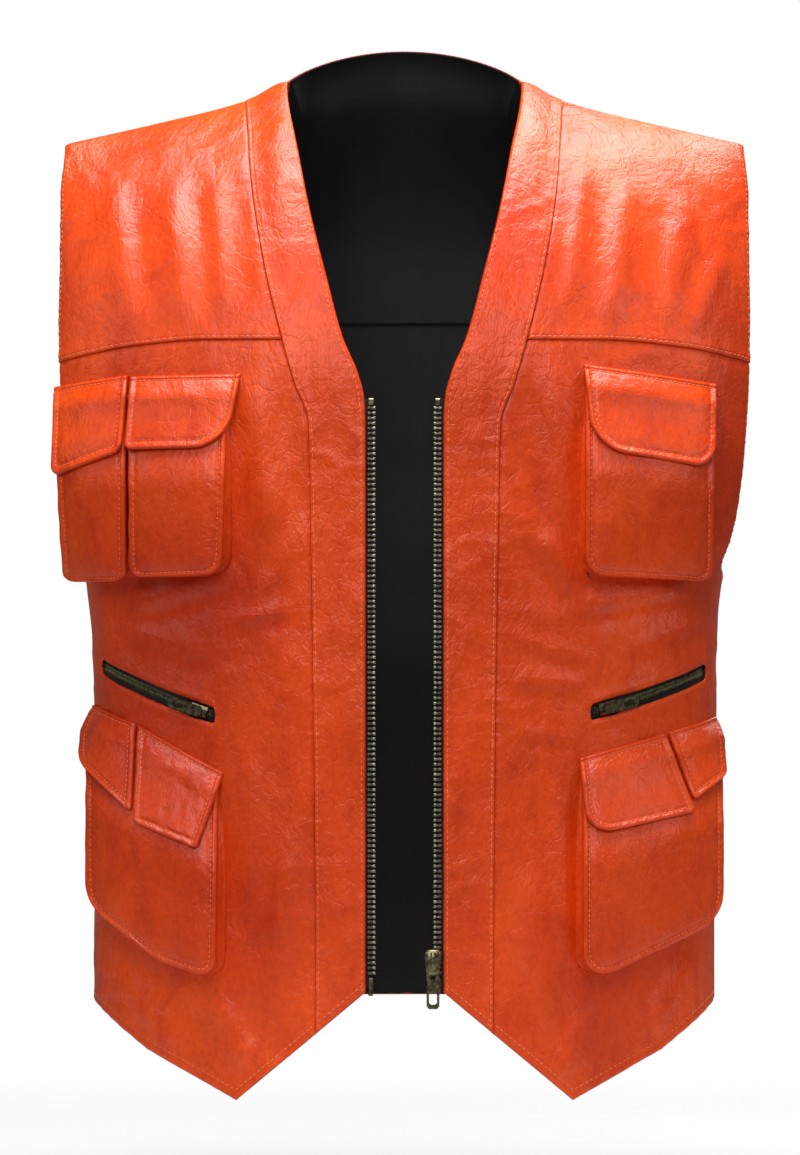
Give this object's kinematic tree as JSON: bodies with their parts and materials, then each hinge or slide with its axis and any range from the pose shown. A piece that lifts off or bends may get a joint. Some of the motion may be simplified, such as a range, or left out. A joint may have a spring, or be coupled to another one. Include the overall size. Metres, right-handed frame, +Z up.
{
  "type": "utility vest",
  "caption": "Sleeveless V-neck leather utility vest, shown worn open: separable front zip, bellows pockets under flaps, zipped hand pockets and pointed front hems.",
  "frame": {"origin": "midway between the two neck points, where the shoulder seams meet the neckline", "axes": "+Z up the body, +Y from front to back, +X to the wearer's left"},
  "size_m": [0.473, 0.2483, 0.7091],
  "materials": {
    "orange_leather": "glossy blaze orange leather",
    "black_lining": "smooth black lining cloth",
    "black_zip_tape": "woven black zip tape",
    "antique_brass": "dark antique brass"
  },
  "bodies": {
    "back": {"back_yoke": "orange_leather", "back_panel": "orange_leather", "back_lining": "black_lining", "back_yoke_lining": "black_lining", "front_yoke_left": "orange_leather", "front_yoke_right": "orange_leather", "neck_band_left": "orange_leather", "neck_band_right": "orange_leather", "yoke_lining_left": "black_lining", "yoke_lining_right": "black_lining"},
    "front_left": {"front_panel_left": "orange_leather", "front_band_left": "orange_leather", "front_facing_left": "orange_leather", "front_lining_left": "black_lining", "zip_tape_left": "black_zip_tape", "zip_teeth_left": "antique_brass", "zip_top_stop_left": "antique_brass", "zip_box_left": "antique_brass", "chest_pocket_left_face": "orange_leather", "chest_pocket_left_gusset": "orange_leather", "hand_zip_tape_left": "black_zip_tape", "hand_zip_chain_left": "antique_brass", "hand_pocket_bag_left": "black_lining", "cargo_pocket_left_face": "orange_leather", "cargo_pocket_left_gusset": "orange_leather"},
    "front_right": {"front_panel_right": "orange_leather", "front_band_right": "orange_leather", "front_facing_right": "orange_leather", "front_lining_right": "black_lining", "zip_tape_right": "black_zip_tape", "zip_teeth_right": "antique_brass", "zip_top_stop_right": "antique_brass", "zip_pin_right": "antique_brass", "chest_pocket_right_inner_face": "orange_leather", "chest_pocket_right_inner_gusset": "orange_leather", "chest_pocket_right_outer_face": "orange_leather", "chest_pocket_right_outer_gusset": "orange_leather", "hand_zip_tape_right": "black_zip_tape", "hand_zip_chain_right": "antique_brass", "hand_pocket_bag_right": "black_lining", "cargo_pocket_right_face": "orange_leather", "cargo_pocket_right_gusset": "orange_leather"},
    "zip_slider": {"zip_slider_left": "antique_brass"},
    "zip_pull": {"zip_pull_left": "antique_brass"},
    "hand_zip_slider_left": {"hand_zip_slider_left": "antique_brass"},
    "hand_zip_pull_left": {"hand_zip_pull_left": "antique_brass"},
    "hand_zip_slider_right": {"hand_zip_slider_right": "antique_brass"},
    "hand_zip_pull_right": {"hand_zip_pull_right": "antique_brass"},
    "chest_left_flap": {"chest_left_flap": "orange_leather"},
    "chest_right_inner_flap": {"chest_right_inner_flap": "orange_leather"},
    "chest_right_outer_flap": {"chest_right_outer_flap": "orange_leather"},
    "cargo_left_inner_flap": {"cargo_left_inner_flap": "orange_leather"},
    "cargo_left_outer_flap": {"cargo_left_outer_flap": "orange_leather"},
    "cargo_right_inner_flap": {"cargo_right_inner_flap": "orange_leather"},
    "cargo_right_outer_flap": {"cargo_right_outer_flap": "orange_leather"}
  },
  "joints": [
    {"name": "front_left_swing", "type": "hinge", "parent": "back", "child": "front_left", "pos_m": [0.212, 0, -0.488], "axis": [0, 0, 1], "range_deg": [-7, 40]},
    {"name": "front_right_swing", "type": "hinge", "parent": "back", "child": "front_right", "pos_m": [-0.212, 0, -0.488], "axis": [0, 0, -1], "range_deg": [-7, 40]},
    {"name": "zip_slide", "type": "slide", "parent": "front_left", "child": "zip_slider", "axis": [0, 0, 1], "range_m": [0, 0.361]},
    {"name": "zip_pull_swing", "type": "hinge", "parent": "zip_slider", "child": "zip_pull", "pos_m": [0.019, -0.12355, -0.6], "axis": [-1, 0, 0], "range_deg": [0, 170]},
    {"name": "hand_zip_left_slide", "type": "hinge", "parent": "front_left", "child": "hand_zip_slider_left", "pos_m": [0.08561, 0.03421, -0.41613], "axis": [-0.2082, -0.1612, 0.9647], "range_deg": [0, 33.76]},
    {"name": "hand_zip_pull_left_swing", "type": "hinge", "parent": "hand_zip_slider_left", "child": "hand_zip_pull_left", "pos_m": [0.13517, -0.10214, -0.42822], "axis": [0.2082, 0.1612, -0.9647], "range_deg": [0, 100]},
    {"name": "hand_zip_right_slide", "type": "hinge", "parent": "front_right", "child": "hand_zip_slider_right", "pos_m": [-0.08502, 0.03473, -0.41564], "axis": [-0.2461, 0.195, -0.9494], "range_deg": [0, 34.06]},
    {"name": "hand_zip_pull_right_swing", "type": "hinge", "parent": "hand_zip_slider_right", "child": "hand_zip_pull_right", "pos_m": [-0.13716, -0.10133, -0.43007], "axis": [0.2461, -0.195, 0.9494], "range_deg": [0, 100]},
    {"name": "chest_left_flap_lift", "type": "hinge", "parent": "front_left", "child": "chest_left_flap", "pos_m": [0.15959, -0.10194, -0.20297], "axis": [-0.9376, -0.3174, 0.1419], "range_deg": [0, 90]},
    {"name": "chest_right_inner_flap_lift", "type": "hinge", "parent": "front_right", "child": "chest_right_inner_flap", "pos_m": [-0.14165, -0.10705, -0.2042], "axis": [-0.9626, 0.2707, -0.0141], "range_deg": [0, 90]},
    {"name": "chest_right_outer_flap_lift", "type": "hinge", "parent": "front_right", "child": "chest_right_outer_flap", "pos_m": [-0.20277, -0.08238, -0.2074], "axis": [-0.8524, 0.5062, -0.1314], "range_deg": [0, 90]},
    {"name": "cargo_left_inner_flap_lift", "type": "hinge", "parent": "front_left", "child": "cargo_left_inner_flap", "pos_m": [0.13906, -0.10041, -0.45271], "axis": [-0.8866, -0.377, -0.2681], "range_deg": [0, 90]},
    {"name": "cargo_left_outer_flap_lift", "type": "hinge", "parent": "front_left", "child": "cargo_left_outer_flap", "pos_m": [0.18601, -0.07125, -0.43823], "axis": [-0.7075, -0.6699, -0.2251], "range_deg": [0, 90]},
    {"name": "cargo_right_inner_flap_lift", "type": "hinge", "parent": "front_right", "child": "cargo_right_inner_flap", "pos_m": [-0.14184, -0.09922, -0.45514], "axis": [-0.8081, 0.3568, 0.4687], "range_deg": [0, 90]},
    {"name": "cargo_right_outer_flap_lift", "type": "hinge", "parent": "front_right", "child": "cargo_right_outer_flap", "pos_m": [-0.18871, -0.06867, -0.43044], "axis": [-0.6696, 0.6782, 0.3029], "range_deg": [0, 90]}
  ]
}
